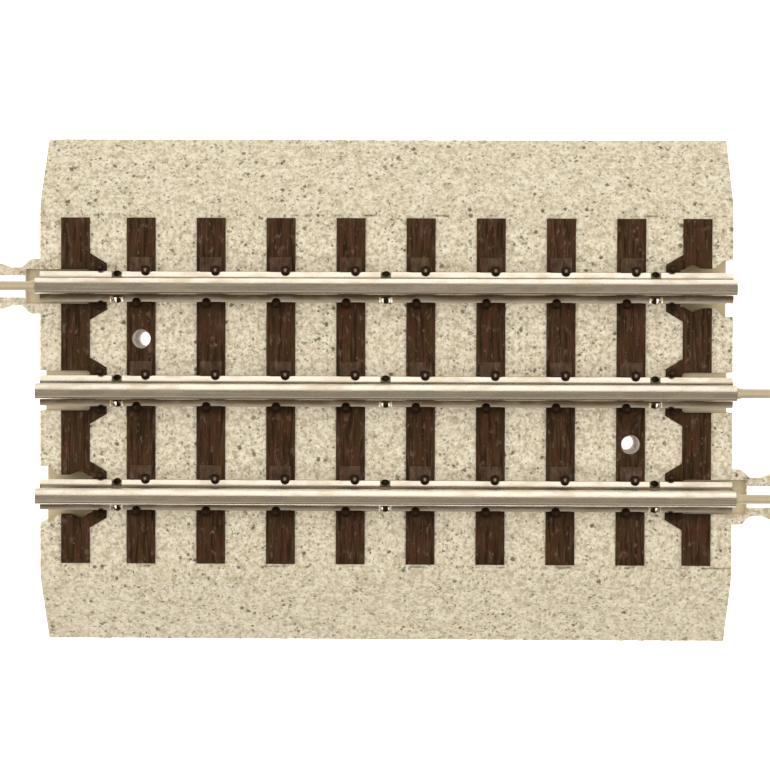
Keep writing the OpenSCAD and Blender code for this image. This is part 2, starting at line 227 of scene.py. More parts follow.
def stones(x, y, size, seed):
    """Height from 0 to 1 of a bed of tilted, rounded stones of about one size."""
    i0 = np.floor(x / size).astype(np.int64)
    j0 = np.floor(y / size).astype(np.int64)
    best = np.zeros_like(x)
    for di in (-1, 0, 1):
        for dj in (-1, 0, 1):
            i, j = i0 + di, j0 + dj
            dx = x / size - (i + hashed(i, j, seed))
            dy = y / size - (j + hashed(i, j, seed + 1))
            reach = 0.5 + 0.4 * hashed(i, j, seed + 2)
            tall = 0.45 + 0.55 * hashed(i, j, seed + 3)
            turn = 2 * np.pi * hashed(i, j, seed + 4)
            along = dx * np.cos(turn) + dy * np.sin(turn)
            across = dy * np.cos(turn) - dx * np.sin(turn)
            dome = 1.25 * (1 - (along**2 + 1.6 * across**2) / reach**2)
            face = 0.85 + 0.5 * along
            best = np.maximum(best, tall * np.minimum(dome, face))
    return best


def smooth_noise(x, y, seed):
    """Smooth noise from 0 to 1 with one bump per unit."""
    i, j = np.floor(x).astype(np.int64), np.floor(y).astype(np.int64)
    u, v = x - i, y - j
    u, v = u * u * (3 - 2 * u), v * v * (3 - 2 * v)
    low = hashed(i, j, seed) * (1 - u) + hashed(i + 1, j, seed) * u
    high = hashed(i, j + 1, seed) * (1 - u) + hashed(i + 1, j + 1, seed) * u
    return low * (1 - v) + high * v


# ---- Material helpers ----


class Material:
    """A node material whose helpers take values or other nodes' outputs."""

    def __init__(self, name):
        self.made = bpy.data.materials.new(name)
        self.made.use_nodes = True
        self.tree = self.made.node_tree
        self.shader = self.tree.nodes["Principled BSDF"]
        place = self.add("ShaderNodeTexCoord")
        scale = self.add("ShaderNodeMapping")
        scale.inputs["Scale"].default_value = (1 / MM, 1 / MM, 1 / MM)
        self.tree.links.new(place.outputs["Object"], scale.inputs["Vector"])
        self.mm = scale.outputs["Vector"]
        self.normal = place.outputs["Normal"]

    def add(self, kind, **settings):
        node = self.tree.nodes.new(kind)
        for key, value in settings.items():
            setattr(node, key, value)
        return node

    def put(self, socket, value):
        if isinstance(value, bpy.types.NodeSocket):
            self.tree.links.new(value, socket)
        else:
            socket.default_value = value

    def stretched(self, x, y, z, shift=0.0):
        """Places in millimetres, scaled along each axis and moved."""
        node = self.add("ShaderNodeMapping")
        self.put(node.inputs["Vector"], self.mm)
        node.inputs["Scale"].default_value = (x, y, z)
        node.inputs["Location"].default_value = (shift, shift * 0.7, shift * 0.4)
        return node.outputs["Vector"]

    def noise(self, scale, detail=2.0, rough=0.5, at=None):
        node = self.add("ShaderNodeTexNoise")
        self.put(node.inputs["Vector"], self.mm if at is None else at)
        node.inputs["Scale"].default_value = scale
        node.inputs["Detail"].default_value = detail
        node.inputs["Roughness"].default_value = rough
        return node.outputs["Fac"]

    def noise_colour(self, scale, at=None):
        node = self.add("ShaderNodeTexNoise")
        self.put(node.inputs["Vector"], self.mm if at is None else at)
        node.inputs["Scale"].default_value = scale
        return node.outputs["Color"]

    def cells(self, scale, at):
        """Distance to the nearest cell centre, and that cell's random number."""
        node = self.add("ShaderNodeTexVoronoi")
        self.put(node.inputs["Vector"], at)
        node.inputs["Scale"].default_value = scale
        apart = self.add("ShaderNodeSeparateColor")
        self.put(apart.inputs["Color"], node.outputs["Color"])
        return node.outputs["Distance"], apart.outputs["Red"]

    def span(self, value, low, high, to_low=0.0, to_high=1.0):
        """value from low to high, eased and carried over to another range."""
        node = self.add("ShaderNodeMapRange", interpolation_type="SMOOTHSTEP")
        names = ("Value", "From Min", "From Max", "To Min", "To Max")
        for name, v in zip(names, (value, low, high, to_low, to_high)):
            self.put(node.inputs[name], v)
        return node.outputs["Result"]

    def math(self, operation, a, b=0.0):
        node = self.add("ShaderNodeMath", operation=operation)
        self.put(node.inputs[0], a)
        self.put(node.inputs[1], b)
        return node.outputs["Value"]

    def product(self, first, *others):
        for other in others:
            first = self.math("MULTIPLY", first, other)
        return first

    def axes(self, vector):
        """The X, Y and Z parts of a vector."""
        node = self.add("ShaderNodeSeparateXYZ")
        self.put(node.inputs["Vector"], vector)
        return node.outputs["X"], node.outputs["Y"], node.outputs["Z"]

    def mix(self, share, a, b):
        """Colour a turning into colour b."""
        node = self.add("ShaderNodeMix", data_type="RGBA")
        for index, value in ((0, share), (6, a), (7, b)):
            self.put(node.inputs[index], (*value, 1) if isinstance(value, tuple) else value)
        return node.outputs[2]

    def bump(self, height, depth, strength=1.0, under=None):
        node = self.add("ShaderNodeBump")
        node.inputs["Strength"].default_value = strength
        node.inputs["Distance"].default_value = depth
        self.put(node.inputs["Height"], height)
        if under is not None:
            self.put(node.inputs["Normal"], under)
        return node.outputs["Normal"]

    def shade(self, **values):
        for name, value in values.items():
            socket = self.shader.inputs[name.replace("_", " ")]
            self.put(socket, (*value, 1) if isinstance(value, tuple) else value)
        return self.made


# ---- Materials ----

CREAM = (0.70, 0.635, 0.495)
PALE = (0.88, 0.84, 0.72)
STRAW = (0.45, 0.40, 0.275)
ROSY = (0.72, 0.60, 0.47)
# Colour of the ballast's dark specks, also used as painted shade in the rails' tab holes.
SPECK_AND_HOLE_SHADE = (0.10, 0.09, 0.055)
MOULD = (0.68, 0.58, 0.39)
# Painted light for the upright walls of the screw holes.
SCREW_HOLE_PAINTED_LIGHT = (0.93, 0.85, 0.78)
WOOD = (0.040, 0.020, 0.007)
WOOD_PALE = (0.15, 0.10, 0.072)
# Painted highlight colour for the plate edges and the spike tops.
PAINTED_HIGHLIGHT = (0.34, 0.25, 0.20)
WOOD_DARK = (0.014, 0.006, 0.002)
WOOD_RED = (0.056, 0.020, 0.011)
PLATED = (0.66, 0.61, 0.53)
TARNISH = (0.52, 0.44, 0.32)
# Painted shade colour for the foot's root under the head.
ROOT_PAINTED_SHADE = (0.17, 0.12, 0.07)
PIN = (0.48, 0.41, 0.28)
TIN = (0.63, 0.63, 0.61)
TIN_DULL = (0.50, 0.51, 0.52)

# Depths of the finest relief, and the sizes of the ballast's specks in millimetres.
STONE_BUMP = 0.16 * MM
MOULD_BUMP = 0.03 * MM
WOOD_BUMP = 0.05 * MM
DRAWN_BUMP = 0.012 * MM
WAVE_BUMP = 0.12 * MM
RING_BUMP = 0.03 * MM
TIN_BUMP = 0.05 * MM
BIG_SPECK = 0.5
SMALL_SPECK = 0.3


def speckle(mat, at, size, share, softness):
    """Irregular spots of about one size, in a share of the cells."""
    distance, number = mat.cells(0.42 / size, at)
    reach = mat.span(number, share, 1.0, 0.16, 0.34)
    spot = mat.span(mat.math("SUBTRACT", distance, reach), softness, -softness)
    chosen = mat.span(number, share, share + 0.02)
    return mat.product(spot, chosen)


def ballast_material():
    """Cream stone-grain plastic with mottling and scattered dark specks, and painted shade
    towards the shoulders.
    """
    mat = Material("ballast")
    wobble = mat.add("ShaderNodeVectorMath", operation="MULTIPLY_ADD")
    mat.put(wobble.inputs[0], mat.noise_colour(2.2))
    wobble.inputs[1].default_value = (0.55, 0.55, 0.55)
    mat.put(wobble.inputs[2], mat.mm)
    bent = wobble.outputs["Vector"]
    clouds = mat.noise(0.22, 2.0)
    hues = mat.noise(0.5, 2.0, 0.5, mat.stretched(1.0, 1.0, 1.0, 23.0))
    clumps = mat.noise(0.75, 3.0, 0.6)
    grains = mat.noise(1.7, 3.0, 0.65)
    fine = mat.noise(3.4, 3.0, 0.65)
    colour = mat.mix(mat.span(clouds, 0.35, 0.65, 0.0, 0.3), CREAM, PALE)
    colour = mat.mix(mat.span(hues, 0.4, 0.6, 0.0, 0.5), colour, ROSY)
    colour = mat.mix(mat.span(clumps, 0.49, 0.36, 0.0, 0.75), colour, STRAW)
    colour = mat.mix(mat.span(clumps, 0.52, 0.66, 0.0, 0.7), colour, PALE)
    colour = mat.mix(mat.span(grains, 0.49, 0.36, 0.0, 0.85), colour, STRAW)
    colour = mat.mix(mat.span(grains, 0.52, 0.64, 0.0, 0.7), colour, PALE)
    colour = mat.mix(mat.span(fine, 0.45, 0.34, 0.0, 0.4), colour, STRAW)
    # Painted shade: darker ballast towards the shoulders, so the outer flats read like the shaded
    # middle.
    from_middle = mat.math("ABSOLUTE", mat.axes(mat.mm)[1])
    shoulder_painted_shade = mat.span(from_middle, SHOULDER_Y / MM - 6.0, SHOULDER_Y / MM + 2.0, 0.0, 0.2)
    colour = mat.mix(shoulder_painted_shade, colour, STRAW)
    gathered = mat.noise(0.4, 1.0, 0.5, mat.stretched(1.0, 1.0, 1.0, 5.0))
    gathered = mat.span(gathered, 0.42, 0.6, 0.25, 1.0)
    chips = mat.noise(1.35, 3.0, 0.6, mat.stretched(1.0, 1.0, 1.0, 31.0))
    chips = mat.product(mat.span(chips, 0.615, 0.68), gathered)
    big = mat.product(speckle(mat, bent, BIG_SPECK, 0.66, 0.10), gathered)
    big = mat.math("MAXIMUM", big, chips)
    small = mat.product(speckle(mat, bent, SMALL_SPECK, 0.66, 0.12), 0.65)
    colour = mat.mix(mat.product(big, 0.9), colour, SPECK_AND_HOLE_SHADE)
    colour = mat.mix(small, colour, SPECK_AND_HOLE_SHADE)
    height = mat.math("ADD", mat.noise(2.6, 3.0, 0.7), mat.product(big, -0.25))
    normal = mat.bump(height, STONE_BUMP, 1.0)
    rough = mat.span(fine, 0.3, 0.7, 0.75, 0.92)
    return mat.shade(Base_Color=colour, Roughness=rough, Normal=normal)


def moulding_material():
    """The same plastic where it is smooth: floors, walls and the underside, with painted light on
    the upright walls of the screw holes.
    """
    mat = Material("moulding")
    clouds = mat.noise(0.12, 2.0)
    fine = mat.noise(2.5, 3.0, 0.6)
    colour = mat.mix(mat.span(clouds, 0.3, 0.7, 0.0, 0.5), MOULD, STRAW)
    colour = mat.mix(mat.span(fine, 0.4, 0.7, 0.0, 0.12), colour, PALE)
    x, y, _ = mat.axes(mat.mm)
    along = mat.math("ADD", mat.math("ABSOLUTE", x), -SCREW_AT[0] / MM)
    across = mat.math("ADD", mat.product(y, mat.math("SIGN", x)), SCREW_AT[1] / MM)
    from_screw = mat.math("ADD", mat.product(along, along), mat.product(across, across))
    from_screw = mat.math("SQRT", from_screw)
    upright = mat.span(mat.math("ABSOLUTE", mat.axes(mat.normal)[2]), 0.5, 0.3)
    # Painted light: the upright walls of the screw holes are painted pale, as if lit through the
    # hole.
    in_hole = mat.span(from_screw, SCREW_R / MM + 0.3, SCREW_R / MM + 0.1)
    colour = mat.mix(mat.product(in_hole, upright), colour, SCREW_HOLE_PAINTED_LIGHT)
    height = mat.math("ADD", fine, mat.noise(9.0, 2.0, 0.6))
    normal = mat.bump(height, MOULD_BUMP, 0.6)
    rough = mat.span(fine, 0.3, 0.7, 0.45, 0.6)
    return mat.shade(Base_Color=colour, Roughness=rough, Normal=normal)


def tie_material():
    """Brown plastic moulded as wood, with streaks along Y, worn plates painted lighter on
    their +Y side, painted highlights on plate edges and spike tops, and painted shadow on the -Y
    side of each rail.
    """
    mat = Material("tie_wood")
    along_x, along_y, height = mat.axes(mat.mm)
    tie_top, plate_top, spike_top = (z / MM for z in (TIE_TOP_Z, PLATE_TOP_Z, SPIKE_TOP_Z))
    cycle = mat.math("FRACT", mat.math("DIVIDE", along_y, RAIL_Y / MM))
    rear_side = mat.span(cycle, 0.5, 0.49)
    # The band on the -Y side of each rail that gets painted shadow.
    rail_painted_shadow = mat.span(cycle, 0.72, 0.86)
    on_plate = mat.product(
        mat.span(height, tie_top + 0.12, plate_top - 0.02),
        mat.span(height, plate_top + 0.15, plate_top + 0.05),
    )
    streaks = mat.noise(1.0, 3.0, 0.6, mat.stretched(1.7, 0.12, 1.0))
    threads = mat.noise(1.0, 2.0, 0.6, mat.stretched(5.0, 0.3, 2.0, 7.0))
    patches = mat.noise(0.5, 2.0, 0.5, mat.stretched(1.0, 0.5, 1.0))
    worn = mat.noise(0.9, 3.0, 0.6, mat.stretched(1.2, 0.6, 1.0, 3.0))
    dots = mat.noise(1.5, 2.0, 0.5, mat.stretched(1.0, 0.6, 1.0, 11.0))
    colour = mat.mix(mat.span(patches, 0.42, 0.6, 0.0, 0.75), WOOD, WOOD_RED)
    colour = mat.mix(mat.span(streaks, 0.53, 0.38, 0.0, 0.95), colour, WOOD_DARK)
    colour = mat.mix(mat.span(threads, 0.54, 0.72, 0.0, 0.35), colour, WOOD_PALE)
    colour = mat.mix(mat.span(worn, 0.56, 0.72, 0.0, 0.6), colour, WOOD_PALE)
    colour = mat.mix(mat.span(dots, 0.69, 0.77, 0.0, 0.8), colour, WOOD_PALE)
    # Worn plates, painted lighter only on the +Y side of each rail where the light falls: wear and
    # painted light.
    plate_wear_and_painted_light = mat.product(on_plate, rear_side, mat.span(worn, 0.3, 0.6, 0.05, 0.4))
    colour = mat.mix(plate_wear_and_painted_light, colour, WOOD_PALE)
    # Painted highlight along the plates' edges that face along Y, strongest on the +Y side of each
    # rail.
    lean_y = mat.axes(mat.normal)[1]
    plate_edge_painted_highlight = mat.product(
        mat.span(mat.math("ABSOLUTE", lean_y), 0.3, 0.6),
        mat.span(height, tie_top + 0.01, tie_top + 0.05),
        mat.span(height, plate_top + 0.05, plate_top + 0.01),
        mat.span(rear_side, 0.0, 1.0, 0.2, 0.9),
    )
    colour = mat.mix(plate_edge_painted_highlight, colour, PAINTED_HIGHLIGHT)
    shank = mat.span(height, plate_top + 0.05, plate_top + 0.15)
    colour = mat.mix(shank, colour, WOOD_DARK)
    # Painted highlight on the domed spike tops, strongest on inner ties and on the +Y side of each
    # rail.
    inner = mat.span(mat.math("ABSOLUTE", along_x), INNER_X / MM + 1.0, INNER_X / MM)
    spike_painted_highlight = mat.product(
        mat.span(height, spike_top + 0.01, spike_top + SPIKE_DOME / MM - 0.02),
        mat.span(inner, 0.0, 1.0, 0.15, 1.0),
        mat.span(rear_side, 0.0, 1.0, 0.15, 1.0),
    )
    colour = mat.mix(spike_painted_highlight, colour, PAINTED_HIGHLIGHT)
    # Painted shadow: the ties darken just -Y of each rail, where the rail shades them, and lose
    # sheen there.
    colour = mat.mix(mat.product(rail_painted_shadow, 0.55), colour, WOOD_DARK)
    grain = mat.math("ADD", mat.product(streaks, 1.5), threads)
    normal = mat.bump(grain, WOOD_BUMP, 0.7)
    rough = mat.span(threads, 0.3, 0.7, 0.36, 0.52)
    return mat.shade(
        Base_Color=colour,
        Roughness=rough,
        Specular_IOR_Level=mat.span(rail_painted_shadow, 0.0, 1.0, 0.22, 0.1),
        Specular_Tint=(1.0, 0.78, 0.55),
        Normal=normal,
    )


def rail_material():
    """Plated rolled sheet: drawn streaks along X, slight waves, painted shade where the foot meets
    the web under the head, widest on the -Y side, and painted shade on the tabs in their holes."""
    mat = Material("rail_plating")
    x, y, z = mat.axes(mat.mm)
    pitch = RAIL_Y / MM
    cycle = mat.math("FRACT", mat.math("DIVIDE", y, pitch))
    drawn = mat.noise(1.0, 3.0, 0.7, mat.stretched(0.05, 7.0, 7.0))
    waves = mat.noise(1.0, 1.0, 0.5, mat.stretched(0.09, 0.5, 0.5, 5.0))
    stains = mat.noise(0.25, 3.0, 0.6, mat.stretched(1.0, 2.5, 2.5))
    colour = mat.mix(mat.span(stains, 0.42, 0.72, 0.0, 0.6), PLATED, TARNISH)
    colour = mat.mix(mat.span(drawn, 0.55, 0.75, 0.0, 0.3), colour, TARNISH)
    # Painted shade where the foot meets the web under the head, wider on the -Y side that the head
    # shades.
    rear_root = mat.span(cycle, 1.65 / pitch, 1.35 / pitch, 0.0, 0.4)
    front_root = mat.span(cycle, 1 - 2.5 / pitch, 1 - 1.8 / pitch)
    below_head = mat.span(z, HEAD_Z / MM - 1.6, HEAD_Z / MM - 2.2)
    root = mat.product(
        mat.math("MAXIMUM", rear_root, front_root),
        below_head,
        mat.span(stains, 0.3, 0.6, 0.75, 1.0),
        mat.span(mat.axes(mat.normal)[2], 0.1, 0.4, 0.3, 1.0),
    )
    colour = mat.mix(root, colour, ROOT_PAINTED_SHADE)
    # Painted shade: the tabs down in their holes are painted near black, over a wider spot on the
    # +Y side.
    from_tab = mat.math("PINGPONG", x, TAB_X[2] / MM / 2)
    rear_hole = mat.product(mat.span(from_tab, 0.95, 0.75), mat.span(cycle, 0.5, 0.49))
    tab_hole_painted_shade = mat.math("MAXIMUM", rear_hole, mat.span(from_tab, 0.5, 0.3))
    outer = mat.span(mat.math("PINGPONG", y, pitch / 2), 1.4, 1.6)
    colour = mat.mix(mat.product(tab_hole_painted_shade, outer, below_head), colour, SPECK_AND_HOLE_SHADE)
    rough = mat.span(drawn, 0.3, 0.7, 0.19, 0.28)
    rough = mat.math("ADD", rough, mat.span(stains, 0.4, 0.7, 0.0, 0.08))
    normal = mat.bump(drawn, DRAWN_BUMP, 0.4)
    normal = mat.bump(waves, WAVE_BUMP, 0.4, normal)
    return mat.shade(Base_Color=colour, Metallic=1.0, Roughness=rough, Normal=normal)


def pin_material():
    """Dull plated brass, with marks round it from the wire drawing."""
    mat = Material("pin_plating")
    rings = mat.noise(1.0, 2.0, 0.6, mat.stretched(6.0, 0.4, 0.4))
    stains = mat.noise(0.7, 3.0, 0.6)
    colour = mat.mix(mat.span(stains, 0.4, 0.7, 0.0, 0.6), PIN, TARNISH)
    normal = mat.bump(rings, RING_BUMP, 0.6)
    rough = mat.span(rings, 0.3, 0.7, 0.5, 0.62)
    return mat.shade(Base_Color=colour, Metallic=0.7, Roughness=rough, Normal=normal)


def contact_material():
    """Tinned strip, with the faint spangle and dullness of a dipped coat."""
    mat = Material("contact_tin")
    _, spangle = mat.cells(0.8, mat.mm)
    dull = mat.noise(0.6, 3.0, 0.6)
    colour = mat.mix(mat.span(spangle, 0.0, 1.0, 0.0, 0.3), TIN, TIN_DULL)
    normal = mat.bump(dull, TIN_BUMP, 0.4)
    rough = mat.span(dull, 0.3, 0.7, 0.32, 0.5)
    return mat.shade(Base_Color=colour, Metallic=1.0, Roughness=rough, Normal=normal)


# ---- Roadbed ----


def is_ballast(face):
    """True for the flat top, the tongues' tops and the shoulders."""
    center = face.calc_center_median()
    if face.normal.z < 0.3:
        return False
    return center.z > BALLAST_Z - TINY or abs(center.y) > SHOULDER_Y


def stone_height(x, y):
    """How far the stones stand out of the moulded surface at places in plan."""
    over = np.maximum(np.abs(y) - SHOULDER_Y, 0)
    along = y + np.sign(y) * over * (1 / math.cos(SHOULDER_FALL) - 1)
    coarse = stones(x, along, COARSE_STONE, 11) - STONE_MEAN
    fine = stones(x, along, FINE_STONE, 47) - STONE_MEAN
    return COARSE_RELIEF * coarse + FINE_RELIEF * fine


def raise_stones(bm, ballast):
    """Moves the ballast's corners out and in along its surface normal."""
    normals = {}
    for face in ballast:
        for v in face.verts:
            normals[v] = normals.get(v, Vector((0, 0, 0))) + face.normal * face.calc_area()
    corners = list(normals)
    chosen = set(ballast)
    x = np.array([v.co.x for v in corners])
    y = np.array([v.co.y for v in corners])
    height = stone_height(x, y)
    for v, up in zip(corners, height):
        border = any(f not in chosen for f in v.link_faces)
        out = normals[v].normalized()
        v.co += out * float(max(up, -EDGE_SINK) if border else up)


def build_roadbed(ballast_look, moulding_look):
    bm = cad_copy("roadbed")
    ballast = [f for f in bm.faces if is_ballast(f)]
    step = STONE_STEP * 1
    ballast = slice_faces(bm, ballast, 0, steps(BED_LOW.x, BED_HIGH.x, step))
    ballast = slice_faces(bm, ballast, 1, steps(BED_LOW.y, BED_HIGH.y, step))
    for face in bm.faces:
        face.material_index = 1
    for face in ballast:
        face.material_index = 0
    raise_stones(bm, ballast)
    looks = [ballast_look, moulding_look]
    return make_piece(bm, "roadbed_stone", "roadbed", looks, STONE_SHARP)


# ---- Ties ----


def tops_at(bm, height):
    """Faces that lie flat at one height."""
    return [
        f
        for f in bm.faces
        if f.normal.z > FLAT and abs(f.calc_center_median().z - height) < TINY
    ]


def round_edges(bm, height, width, segments):
    """Rounds the outer edges that lie level at one height and turn down there."""
    level = [e for e in bm.edges if all(abs(v.co.z - height) < TINY for v in e.verts)]
    turning = [e for e in level if len(e.link_faces) == 2 and e.is_convex]
    bmesh.ops.bevel(
        bm, geom=turning, offset=width, segments=segments, profile=0.5, affect="EDGES"
    )


def spread_spikes(bm):
    """Moves each inner tie's spikes a little away from their rails and widens them along X."""
    middles = [f.calc_center_bounds() for f in tops_at(bm, SPIKE_TOP_Z)]
    for x, y in {(round(c.x, 5), round(c.y, 5)) for c in middles}:
        if abs(x) > INNER_X:
            continue
        rail_y = min(RAILS.values(), key=lambda r: abs(y - r))
        middle = rail_y + math.copysign(SPIKE_Y, y - rail_y)
        for v in bm.verts:
            near = math.hypot(v.co.x - x, v.co.y - middle) < SPIKE_R + TINY * 10
            if near and v.co.z > TIE_TOP_Z + TINY:
                v.co.x = x + (v.co.x - x) * SPIKE_WIDER
                v.co.y += math.copysign(SPIKE_OUT, y - rail_y)


def dome_spikes(bm):
    """Raises the flat left on each spike into a low dome."""
    for v in bmesh.ops.poke(bm, faces=tops_at(bm, SPIKE_TOP_Z))["verts"]:
        v.co.z += SPIKE_DOME


def carve_grain(bm, seed):
    """Wood grain in the tie's top face."""
    top = tops_at(bm, TIE_TOP_Z)
    corners = [v.co for f in top for v in f.verts]
    x_cuts = steps(min(c.x for c in corners), max(c.x for c in corners), GRAIN_STEP_X)
    y_cuts = steps(min(c.y for c in corners), max(c.y for c in corners), GRAIN_STEP_Y)
    top = slice_faces(bm, slice_faces(bm, top, 0, x_cuts), 1, y_cuts)
    chosen = set(top)
    inner = [v for v in {v for f in top for v in f.verts} if all(f in chosen for f in v.link_faces)]
    x = np.array([v.co.x for v in inner]) / MM
    y = np.array([v.co.y for v in inner]) / MM
    bend = 0.5 * smooth_noise(x * 0.3, y * 0.12, seed)
    wide = smooth_noise((x + bend) / 0.55, y / 11, seed + 1)
    narrow = smooth_noise((x + bend) / 0.3, y / 5, seed + 2)
    dents = smooth_noise(x / 1.1, y / 1.7, seed + 3)
    depth = 0.55 * np.abs(2 * wide - 1) + 0.45 * narrow + 0.4 * np.maximum(dents - 0.7, 0)
    for v, d in zip(inner, depth):
        v.co.z += GRAIN_DEPTH * (0.35 - float(d))


def build_tie(node, look, seed):
    bm = cad_copy(node)
    spread_spikes(bm)
    round_edges(bm, SPIKE_TOP_Z, SPIKE_ROUND, 4)
    dome_spikes(bm)
    round_edges(bm, PLATE_TOP_Z, PLATE_ROUND, 2)
    round_edges(bm, TIE_TOP_Z, TIE_ROUND, 2)
    carve_grain(bm, seed)
    return make_piece(bm, node + "_grained", node, [look], WOOD_SHARP)


# ---- Rails ----


def crown_head(bm, rail_y, crown_from):
    """Rounds the head over towards +Y, with a fine seam near its edge."""
    zone = HEAD_Z - CROWN_DEEP
    corner = HEAD_Z - HEAD_R + TINY
    top = [f for f in bm.faces if f.normal.z > 0.99 and f.calc_center_median().z > HEAD_Z - TINY]
    half = max(abs(v.co.y - rail_y) for f in top for v in f.verts)
    slice_faces(bm, top, 1, steps(rail_y - half, rail_y + half, CROWN_STEP))
    for v in bm.verts:
        if v.co.z > zone:
            fade = (v.co.z - zone) / (HEAD_Z - zone)
            out = v.co.y - rail_y
            drop = max(0, out - crown_from) ** 2 / (2 * CROWN_R)
            if out > half + TINY:
                v.co.z = HEAD_Z - max(drop, 0.0 if v.co.z > corner else HEAD_Z - v.co.z)
            else:
                seam = SEAM_DEPTH * math.exp(-(((out - SEAM_Y) / SEAM_WIDE) ** 2))
                v.co.z -= fade * (drop + seam)


def foot_height(out):
    """Height of the foot's upper surface at a distance from the rail's middle."""
    flat_to, bent_from = FOOT_BEND
    turn = min(1, max(0, (bent_from - out) / (bent_from - flat_to)))
    fall = FOOT_Y - max(out, bent_from) + (bent_from - flat_to) * (turn - turn**3 + turn**4 / 2)
    root = max(0, 1 - (out - WEB_Y) / FOOT_ROOT_WIDE)
    return FOOT_EDGE_Z + FOOT_SLOPE * fall + FOOT_ROOT_UP * root**2


def sweep_foot(bm, rail_y):
    """Bends the upper surface of the foot down towards its edges, with a fillet up to the web."""
    foot = [
        f
        for f in bm.faces
        if f.normal.z > 0.05
        and f.calc_center_median().z < BALLAST_Z + FOOT_TOP_MAX
        and min(abs(v.co.y - rail_y) for v in f.verts) > WEB_Y - TINY
        and f.calc_center_median().z > BALLAST_Z + FOOT_TOP_MIN
    ]
    for s in SIDES:
        side = [f for f in foot if f.is_valid and s * (f.calc_center_median().y - rail_y) > 0]
        lines = [rail_y + s * place for place in steps(WEB_Y, FOOT_Y, FOOT_STEP)]
        for face in slice_faces(bm, side, 1, sorted(lines)):
            for v in face.verts:
                out = abs(v.co.y - rail_y)
                v.co.z = foot_height(min(out, FOOT_Y))


def bend_lips(bm, rail_y):
    """Turns the foot up a little at each side of the notches on the rail's -Y side."""
    reach = NOTCH_R + 4 * LIP_WIDE
    for tab in TAB_X:
        near = [
            f
            for f in bm.faces
            if f.calc_center_median().z < LIP_ZONE[1]
            and f.calc_center_median().y < rail_y
            and abs(f.normal.z) > 0.3
            and min(v.co.x for v in f.verts) < tab + reach
            and max(v.co.x for v in f.verts) > tab - reach
        ]
        cuts = [tab + s * (NOTCH_R + k * LIP_WIDE / 3) for s in SIDES for k in range(-2, 10)]
        slice_faces(bm, near, 0, sorted(cuts))
        for v in bm.verts:
            out = rail_y - v.co.y
            if not LIP_ZONE[0] <= v.co.z <= LIP_ZONE[1] or out < LIP_FROM_Y:
                continue
            away = (abs(v.co.x - tab) - 0.75 * NOTCH_R) / LIP_WIDE
            if abs(away) < 3:
                grown = min(1, (out - LIP_FROM_Y) / LIP_GROWTH)
                v.co.z += LIP_UP * math.exp(-(away**2)) * grown


def spread_folds(bm, rail_y):
    """Widens the folded ends of the rail's +Y tabs so that they fill their holes from below."""
    for v in bm.verts:
        if v.co.z < BALLAST_Z - MM and v.co.y > rail_y:
            tab = min(TAB_X, key=lambda x: abs(v.co.x - x))
            v.co.x = tab + (v.co.x - tab) * FOLD_WIDER


def build_rail(node, rail_y, look):
    bm = cad_copy(node)
    spread_folds(bm, rail_y)
    crown_head(bm, rail_y, CROWN_FROM[node])
    sweep_foot(bm, rail_y)
    bend_lips(bm, rail_y)
    return make_piece(bm, node + "_plated", node, [look], RAIL_SHARP)


# ---- Pins and contacts ----


def build_small(node, look, ending, width):
    """A copy of a small metal node with its sharp corners eased."""
    bm = cad_copy(node)
    joined = [e for e in bm.edges if len(e.link_faces) == 2]
    corners = [e for e in joined if e.calc_face_angle(0) > EASED_FROM]
    bmesh.ops.bevel(
        bm,
        geom=corners,
        offset=width,
        segments=2,
        profile=0.5,
        affect="EDGES",
        clamp_overlap=True,
    )
    return make_piece(bm, node + ending, node, [look], METAL_SHARP)


# ---- Studio ----

CAMERA_AT = Vector((5.2, 9.4, 374.0)) * MM
CAMERA_AIM = Vector((-0.1, 1.1, 9.5)) * MM
CAMERA_ROLL = math.radians(0.19)
FRAME_WIDTH = 127.1 * MM
SENSOR = 36.0

LAMP_FAR = 0.9
LAMP_WARM = (1.0, 0.98, 0.94)
KEY_LIGHT = 1.2
SIDE_LIGHT = 2.65
FLOOR_HALF = 3.0
FLOOR_GLOW = 0.85
FLOOR_DROP = 0.02 * MM
WARM_GREY = (0.295, 0.252, 0.19)
DIM = (0.10, 0.08, 0.055)
WALL = (0.66, 0.61, 0.54)
BRIGHT_WALL = (0.84, 0.80, 0.72)
PAPER = (0.93, 0.925, 0.91)


def facing(out):
    """A turn whose Z axis points along out and whose X axis stays level along +X."""
    right = Vector((0, 1, 0)).cross(out).normalized()
    up = out.normalized().cross(right)
    return Matrix((right, up, out.normalized())).transposed()


def add_camera():
    """Almost straight above the track, where the frame is 127 mm wide at the ballast."""
    camera = bpy.data.cameras.new("camera")
    camera.sensor_width = SENSOR
    view = CAMERA_AT - CAMERA_AIM
    camera.lens = SENSOR * view.length / FRAME_WIDTH
    camera.clip_start = 0.01
    holder = bpy.data.objects.new("camera", camera)
    turn = facing(view) @ Matrix.Rotation(CAMERA_ROLL, 3, "Z")
    holder.matrix_world = Matrix.Translation(CAMERA_AT) @ turn.to_4x4()
    bpy.context.scene.collection.objects.link(holder)
    bpy.context.scene.camera = holder


def add_softbox(name, lean, half, brightness, colour):
    """A rectangular soft light: its lean from straight above towards +X and +Y and its half widths
    are in degrees, as seen from the track."""
    lamp = bpy.data.lights.new(name, "AREA")
    lamp.shape = "RECTANGLE"
    lamp.size, lamp.size_y = (2 * LAMP_FAR * math.tan(math.radians(angle)) for angle in half)
    lamp.energy = math.pi * brightness * lamp.size * lamp.size_y
    lamp.color = colour
    holder = bpy.data.objects.new(name, lamp)
    out = Vector((math.tan(math.radians(lean[0])), math.tan(math.radians(lean[1])), 1)).normalized()
    holder.matrix_world = Matrix.Translation(out * LAMP_FAR) @ facing(out).to_4x4()
    bpy.context.scene.collection.objects.link(holder)


